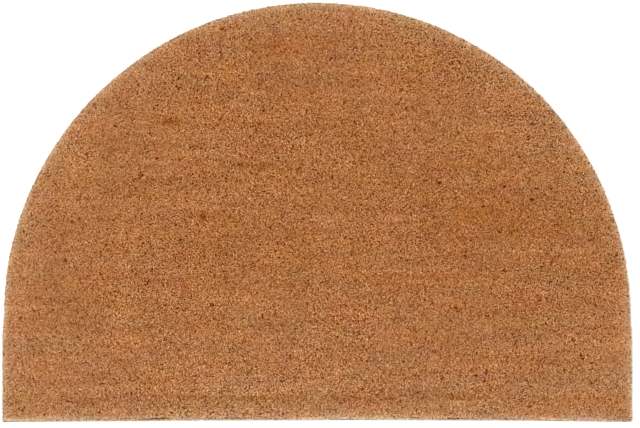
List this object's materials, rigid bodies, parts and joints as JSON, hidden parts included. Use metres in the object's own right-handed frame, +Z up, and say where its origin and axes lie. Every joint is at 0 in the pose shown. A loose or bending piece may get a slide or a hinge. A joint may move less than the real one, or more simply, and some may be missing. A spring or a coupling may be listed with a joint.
{
  "type": "half round doormat",
  "caption": "Flat half round doormat of short clipped coir pile set in a vinyl backing, with one straight edge to lie along a doorstep.",
  "frame": {"origin": "on the underside, below the middle of the outline's box", "axes": "+Z up out of the pile, +X along the straight edge, +Y from the straight edge towards the crown of the arc"},
  "size_m": [0.75, 0.5, 0.016],
  "materials": {
    "backing_vinyl": "matt grey-beige vinyl, fine pebbled underside",
    "coir_pile": "natural coir, clipped short, matt and bristly"
  },
  "bodies": {
    "root": {"backing": "backing_vinyl", "pile": "coir_pile"}
  },
  "joints": []
}
